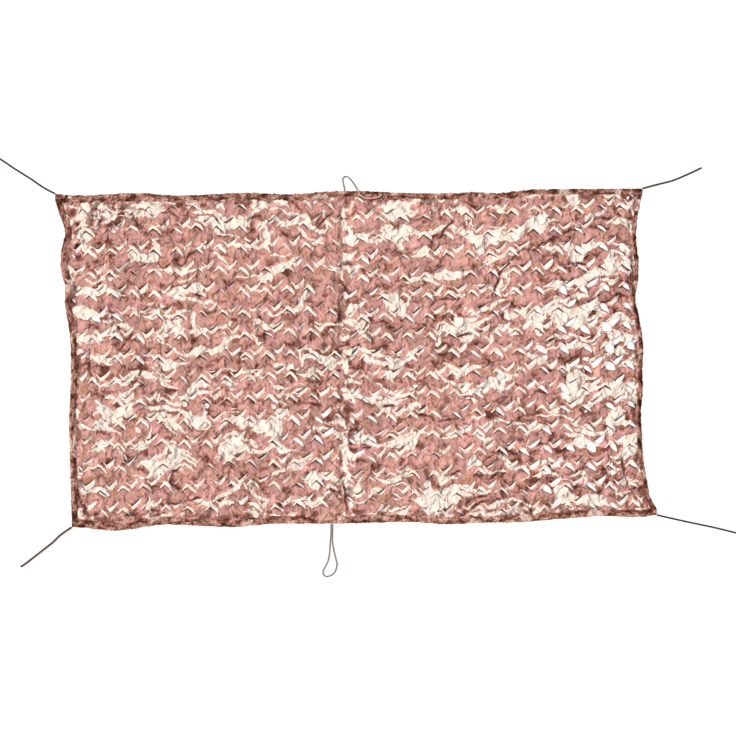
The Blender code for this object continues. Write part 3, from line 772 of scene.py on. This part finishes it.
    # Along the seam the reverse shows in pale patches, about one to a cell
    patch = bumps(px, py, 31, ((0.15, 1.1), (0.06, 0.7))) + 0.5 * fine - 0.42
    patch = patch * bell((px - SEAM_X - 0.016) / 0.032) * ease((inside - 0.02) / 0.03)
    patch = (2.2 * patch).clip(0, 1)
    lip, deep = np.maximum(lip, patch), deep * (1 - 0.8 * patch)
    # Painted shade: each leaf between the slits gets its own random tone, and is darker on one
    # side of its valley
    leaf = 0.5 + 0.22 * between(shades) + 0.24 * np.sign(valley % 1 - 0.5) * ease(4 * t * (1 - t))
    uv = np.stack([between(x), between(y) / PRINT_STRETCH], axis=-1)
    uv = uv + (0 if name == "panel_left" else 3.7)
    points = np.stack([px, py, pz], axis=-1).reshape(-1, 3)
    used, faces = np.unique(faces, return_inverse=True)
    marks = {"lip": lip, "deep": deep, "more": spread(CREAM, px, py), "leaf": leaf}
    marks = {key: values.ravel()[used] for key, values in marks.items()}
    uv = uv.reshape(-1, 2)[used]
    piece = add_piece(f"cloth_{name}", points[used], faces.reshape(-1, 4), material, uv, marks)
    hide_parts(name)
    return piece


# ---------------------------------------------------------------- the folded bindings


def lap_lift(x, reach):
    """The lift over the lap: full up to reach past it, then down to nothing."""
    past = np.abs(x - SEAM_X) - LAP / 2
    return LAP_LIFT * (1 - np.clip((past - reach) / LAP_RAMP, 0, 1))


def strip_surface(side, along, across, rise):
    """Points of a folded strip; across runs from the lower leaf's inner edge to the upper's.

    The lower leaf lies flat, a half circle turns up round the outer edge, and the upper leaf
    swells by a sine between its edges, rise high, with slanting wrinkles and a strayed inner
    edge. It gives the points, and how deep inside the outer edge each one lies.
    """
    start, end = LINES[side][0][0, 0], LINES[side][0][-1, 0]
    along, across = np.broadcast_arrays(along, across)
    place = start + (end - start) * along
    outer, inner = edge(side, place), edge(side, place, True)
    width = np.abs(inner - outer)
    fade = ease(np.minimum(place - start, end - place) / 0.06)
    seed = SIDES.index(side)
    uneven = bumps(place, 0, seed, ((0.31, 1), (0.11, 0.9), (0.045, 0.9), (0.021, 0.6)))
    width = width * (1 + 0.13 * fade * uneven)
    upper = np.clip((across - UPPER_FROM) / (1 - UPPER_FROM), 0, 1)
    lower = np.clip(1 - across / LOWER_TO, 0, 1)
    turn = np.clip((across - LOWER_TO) / (UPPER_FROM - LOWER_TO), 0, 1) * np.pi
    depth = FOLD_RADIUS * (1 - np.sin(turn)) + (width - FOLD_RADIUS) * np.maximum(upper, lower)
    height = 0.0002 + FOLD_RADIUS * (1 - np.cos(turn))
    swell = 1 + bumps(place, 0, seed + 20, ((0.29, 0.35), (0.12, 0.35)))
    height = height + rise * swell * np.sin(np.pi * upper ** 0.8) - 0.0012 * upper ** 2
    slant = bumps(place + 0.7 * depth, 0.3 * depth, seed + 40, ((0.061, 0.0011), (0.027, 0.0012)))
    height = height + slant * np.sin(np.pi * np.clip(upper, 0, 0.93)) ** 0.7 * (upper > 0)
    outwards = 0.0022 * bumps(place, 0, seed + 60, ((0.05, 1), (0.021, 0.8))) * np.sin(turn)
    flat = outer + INWARDS[side] * (depth + outwards * fade)
    if side in LONG_SIDES:
        height = height + lap_lift(place, LAP_RAMP) * np.clip(turn / np.pi, 0, 1)
        return np.stack([place, flat, height], axis=-1), depth
    foot, top = edge("bottom", flat, True) + GAP, edge("top", flat, True) - GAP
    return np.stack([flat, foot + (top - foot) * along, height], axis=-1), depth


def grid_faces(rows, columns, flip=False):
    """The four-sided faces of a grid of points stored row by row."""
    index = np.arange(rows * columns).reshape(rows, columns)
    faces = np.stack([index[:-1, :-1], index[:-1, 1:], index[1:, 1:], index[1:, :-1]], axis=-1)
    return faces.reshape(-1, 4)[:, ::-1] if flip else faces.reshape(-1, 4)


def stitches(name, centres, directions, ups, length, material):
    """A row of stitches: each a low arch of thread, sin(pi t) high, with a half-round section."""
    t = np.linspace(0, 1, STITCH_GRID[0])[:, None]
    turn = np.linspace(0, np.pi, STITCH_GRID[1])[None]
    rise = STITCH * 0.9 * np.sin(np.pi * t) - 0.0002
    along = (t - 0.5) * length + 0 * turn
    across = STITCH / 2 * np.cos(turn) + 0 * t
    high = rise + STITCH / 2 * np.sin(turn)
    sides = np.cross(ups, directions)
    points = (
        centres[:, None, None]
        + directions[:, None, None] * along[None, ..., None]
        + sides[:, None, None] * across[None, ..., None]
        + ups[:, None, None] * high[None, ..., None]
    )
    first = math.prod(STITCH_GRID) * np.arange(len(centres))[:, None, None]
    faces = (grid_faces(*STITCH_GRID)[None] + first).reshape(-1, 4)
    piece = add_piece(name, points, faces, material)
    return piece


def binding(side, cloth, thread, settings):
    """One folded strip and the row of stitches by its inner edge."""
    start, end = LINES[side][0][0, 0], LINES[side][0][-1, 0]
    along = np.linspace(0, 1, round((end - start) / FOLD_STEP))[:, None]
    across = np.linspace(0, 1, FOLD_COLUMNS)[None]
    points, depth = strip_surface(side, along, across, settings.swell)
    depth = np.where(across < (LOWER_TO + UPPER_FROM) / 2, -depth, depth)
    uv = np.stack([along * (end - start) + 0 * across, depth], axis=-1)
    from_end = np.minimum(along, 1 - along) * (end - start) + 0 * across
    tone = STRIP_TONE[side] - 0.06 * bell(from_end / 0.05)
    faces = grid_faces(along.size, across.size, side in ("top", "left"))
    uv = uv + SIDES.index(side)
    strip = add_piece(f"strip_{side}", points, faces, cloth, uv, {"tone": tone})
    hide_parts(f"binding_{side}")
    count = round((end - start) / settings.pitch)
    along = (np.arange(2 * count) + 0.5)[:, None] / (2 * count)
    row, _ = strip_surface(side, along, np.full((1, 1), STITCH_ACROSS), settings.swell)
    step = np.diff(row[:, 0], axis=0)[::2]
    step = step / np.linalg.norm(step, axis=1)[:, None]
    ups = np.broadcast_to([0.0, 0.0, 1.0], step.shape)
    row = (row[0::2, 0] + row[1::2, 0]) / 2
    sewn = stitches(f"stitching_{side}", row, step, ups, settings.stitch, thread)
    return strip


# ---------------------------------------------------------------- the cords


def route(points, diameter):
    """Evenly spaced points on a smooth curve through (x, y, height of its bed) points."""
    points = np.array(points, float) + (0, 0, diameter / 2 + GAP)
    length = np.concatenate([[0], np.cumsum(np.linalg.norm(np.diff(points, axis=0), axis=1))])
    fine = np.linspace(0, length[-1], 40 * len(points))
    curve = np.stack([smooth(np.stack([length, axis], axis=1), fine) for axis in points.T], axis=1)
    run = np.concatenate([[0], np.cumsum(np.linalg.norm(np.diff(curve, axis=0), axis=1))])
    even = np.linspace(0, run[-1], round(run[-1] / CORD_STEP) + 1)
    return np.stack([np.interp(even, run, axis) for axis in curve.T], axis=1), run[-1]


def cord(node, diameter, points, far_end, material, braid, faded_from=9):
    """A braided cord: a tube round its route, whose skin rises where either way of winding does.

    The loose braid swells past the solid's even thickness, and it is faded from faded_from on.
    """
    swell = LOOP_SWELL if diameter == THIN_CORD else TIE_SWELL
    line, length = route(points, swell * diameter)
    tangent = np.gradient(line, axis=0)
    tangent /= np.linalg.norm(tangent, axis=1)[:, None]
    side = np.cross(tangent, (0, 0, 1))
    side /= np.linalg.norm(side, axis=1)[:, None]
    up = np.cross(side, tangent)
    run = np.linspace(0, length, len(line))[:, None]
    turn = np.linspace(0, 2 * np.pi, CORD_ROUND)[None]
    strands, advance = BRAID_STRANDS * turn, 2 * np.pi * run / braid
    wound = np.maximum(np.sin(strands + advance), np.sin(strands - advance))
    radius = diameter / 2 * (swell - 0.03 + 0.06 * wound)
    from_end = np.minimum(run, length - run)
    radius = radius * np.sqrt(np.clip(1 - (1 - np.clip(from_end / 0.002, 0, 1)) ** 2, 0, 1))
    round_it = np.cos(turn)[..., None] * side[:, None] + np.sin(turn)[..., None] * up[:, None]
    skin = line[:, None] + round_it * radius[..., None]
    tip = ease((0.010 - (length - run)) / 0.003) * (far_end == "bare") + 0 * turn
    uv = np.stack([run + 0 * turn, turn * diameter / 2 + 0 * run], axis=-1)
    marks = {"tip": tip, "faded": ease((run - faded_from) / 0.02) + 0 * turn}
    faces = grid_faces(len(line), CORD_ROUND)
    piece = add_piece(f"cord_{node}", skin, faces, material, uv, marks)
    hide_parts(node)
    path = line[:: max(1, len(line) // 60)]
    path = np.concatenate([path[:-1], line[-1:]])
    return piece


# ---------------------------------------------------------------- the add-on


def size(name, description, default):
    """A length that a user may change, in metres."""
    return bpy.props.FloatProperty(
        name=name, description=description, default=default, unit="LENGTH", precision=4
    )


def tint(name, description, code):
    """A colour that a user may change, from its sRGB hex value."""
    limits = {"size": 4, "subtype": "COLOR", "min": 0, "max": 1}
    return bpy.props.FloatVectorProperty(
        name=name, description=description, default=colour(code), **limits
    )


class ClothSettings(bpy.types.PropertyGroup):
    """Sizes and colours of the slit cloth"""

    opening: size("Opening", "Widest opening of a slit", 0.0112)
    lift: size("Lip lift", "How high an outer lip stands", 0.0025)
    drop: size("Tongue drop", "How far a tongue sinks", 0.0068)
    fold: size("Fold", "Depth of the valleys between slits", 0.006)
    level: size("Level", "Height of the cloth over the ground", 0.0090)
    stray: size("Stray", "How far a slit strays from its place", 0.0095)
    darkest: tint("Darkest", "Darkest patches of the print", "#4e2921")
    dark: tint("Dark brown", "Dark brown patches of the print", "#774c40")
    brown: tint("Brown", "Middle brown patches of the print", "#966c62")
    light: tint("Light brown", "Light brown patches of the print", "#a1786e")
    tan: tint("Tan", "Tan specks of the print", "#94664f")
    rosy: tint("Rosy", "Tone that is printed over part of the browns", "#a57772")
    cream: tint("Cream", "Splashes of the print", "#c0b1a5")
    # The cloth's pale reverse, with a painted highlight on the raised lips
    reverse: tint("Reverse", "Pale reverse of the cloth along the slits, with painted highlight on raised lips", "#c9b4a7")
    # Painted shade in the pockets under the lips and in the creases
    painted_shade: tint("Painted shade", "Painted shade in the creases and pockets", "#4a221b")


class BindingSettings(bpy.types.PropertyGroup):
    """Sizes and colours of the folded bindings and their stitches"""

    swell: size("Swell", "How far the upper leaf swells", 0.0026)
    stitch: size("Stitch", "Length of a stitch", 0.0062)
    pitch: size("Pitch", "From one stitch to the next", 0.0090)
    darkest: tint("Darkest", "Specks of the print", "#2f120b")
    dark: tint("Dark brown", "Dark brown patches of the print", "#5c3427")
    brown: tint("Brown", "Middle brown patches of the print", "#896053")
    pale: tint("Pale", "Pale patches of the print", "#ab8577")
    cream: tint("Cream", "Splashes that cross the strip", "#ab9184")
    thread_dark: tint("Thread, dark", "Shaded side of the thread", "#3b241d")
    thread_light: tint("Thread, light", "Lit side of the thread", "#5e4036")


class CordSettings(bpy.types.PropertyGroup):
    """Sizes and colours of the ties and the loops"""

    braid: size("Braid", "Length in which a strand goes once round", 0.014)
    tie_dark: tint("Tie, dark", "Gaps between the strands of three ties", "#120e0d")
    tie_light: tint("Tie, light", "Strands of three ties", "#231c1a")
    thick_dark: tint("Thick tie, dark", "Gaps between the strands of the thick tie", "#2e1d1a")
    thick_light: tint("Thick tie, light", "Strands of the thick tie", "#46302b")
    loop_dark: tint("Loop, dark", "Gaps between the strands of the loops", "#4f4644")
    loop_light: tint("Loop, light", "Strands of the loops", "#746867")
    faded: tint("Faded", "The sun-bleached end of the top loop", "#a9877b")
    melted: tint("Melted tip", "The melted end of a cord", "#1d1210")


class NETTING_OT_panels(bpy.types.Operator):
    """Make the two panels of slit cloth"""

    bl_idname = "netting.panels"
    bl_label = "Slit panels"

    def execute(self, context):
        settings = context.scene.netting_cloth
        material = printed_oxford(settings)
        for name in WEAVE:
            piece = panel(name, material, settings)
        return {"FINISHED"}


class NETTING_OT_bindings(bpy.types.Operator):
    """Make the four folded bindings and their stitching"""

    bl_idname = "netting.bindings"
    bl_label = "Bindings"

    def execute(self, context):
        settings = context.scene.netting_bindings
        cloth, thread = binding_cloth(settings), sewing_thread(settings)
        for side in SIDES:
            binding(side, cloth, thread, settings)
        return {"FINISHED"}


class NETTING_OT_cords(bpy.types.Operator):
    """Make the four corner ties and the two loops"""

    bl_idname = "netting.cords"
    bl_label = "Ties and loops"

    def execute(self, context):
        settings = context.scene.netting_cords
        dark = braided_cord(
            "dark_polypropylene_cord", settings.tie_dark, settings.tie_light, settings
        )
        brown = braided_cord(
            "brown_polypropylene_cord", settings.thick_dark, settings.thick_light, settings
        )
        pale = braided_cord(
            "thin_polypropylene_cord", settings.loop_dark, settings.loop_light, settings
        )
        for node, (diameter, points) in TIES.items():
            material = brown if diameter == THICK_TIE else dark
            cord(node, diameter, points, "bare", material, settings.braid)
        cord("loop_top", THIN_CORD, LOOP_TOP, "bare", pale, settings.braid, 0.17)
        cord("loop_bottom", THIN_CORD, LOOP_BOTTOM, "object", pale, settings.braid)
        return {"FINISHED"}


class NETTING_OT_stage(bpy.types.Operator):
    """Make the floor, the lights and the camera"""

    bl_idname = "netting.stage"
    bl_label = "Stage"

    def execute(self, context):
        scene = context.scene
        scene.view_settings.view_transform = "Standard"
        floor = bpy.data.meshes.new("floor")
        corners = [(FLOOR * x, FLOOR * y, 0) for x, y in ((-1, -1), (1, -1), (1, 1), (-1, 1))]
        floor.from_pydata(corners, [], [(0, 1, 2, 3)])
        # A white laminate table lit from inside, so that it shows no shade round the net
        material, _, shader = new_material("lit_white_table")
        feed(shader, {"Base Color": colour("#7a7a7a"), "Roughness": 1})
        feed(shader, {"Emission Color": (1, 0.965, 0.945, 1), "Emission Strength": 0.70})
        floor.materials.append(material)
        add_object("floor", floor)
        world = bpy.data.worlds.new("soft_white")
        scene.world = world
        world.use_nodes = True
        sky = {"Color": (1, 1, 1, 1), "Strength": 0.37}
        feed(world.node_tree.nodes["Background"], sky)
        sun = bpy.data.lights.new("window_light", "SUN")
        sun.energy = 7.0
        sun.angle = math.radians(7)
        lamp = add_object("window_light", sun)
        lamp.rotation_euler = (0, math.radians(-41), math.radians(-12))
        camera = bpy.data.cameras.new("camera")
        camera.angle = 2 * math.atan(HALF_VIEW / EYE[2])
        camera.clip_end = 400
        scene.camera = add_object("camera", camera)
        scene.camera.location = EYE
        return {"FINISHED"}


class NETTING_PT_pieces(bpy.types.Panel):
    """The net's pieces"""

    bl_idname = "NETTING_PT_pieces"
    bl_label = "Netting"
    bl_space_type = "VIEW_3D"
    bl_region_type = "UI"
    bl_category = "Netting"

    def draw(self, context):
        for operator in OPERATORS:
            self.layout.operator(operator.bl_idname)
        for key, kind in GROUPS.items():
            column = self.layout.column()
            for name in kind.__annotations__:
                column.prop(getattr(context.scene, key), name)


OPERATORS = (NETTING_OT_stage, NETTING_OT_cords, NETTING_OT_panels, NETTING_OT_bindings)
GROUPS = {
    "netting_cords": CordSettings,
    "netting_cloth": ClothSettings,
    "netting_bindings": BindingSettings,
}
CLASSES = (*GROUPS.values(), *OPERATORS, NETTING_PT_pieces)


def register():
    """Register the classes and hang the settings on the scene."""
    for kind in CLASSES:
        bpy.utils.register_class(kind)
    for key, kind in GROUPS.items():
        setattr(bpy.types.Scene, key, bpy.props.PointerProperty(type=kind))


def unregister():
    """Undo what register did."""
    for key in GROUPS:
        delattr(bpy.types.Scene, key)
    for kind in reversed(CLASSES):
        bpy.utils.unregister_class(kind)


def main():
    register()
    bpy.ops.netting.stage()
    bpy.ops.netting.cords()
    bpy.ops.netting.panels()
    bpy.ops.netting.bindings()


if __name__ == "__main__":
    main()
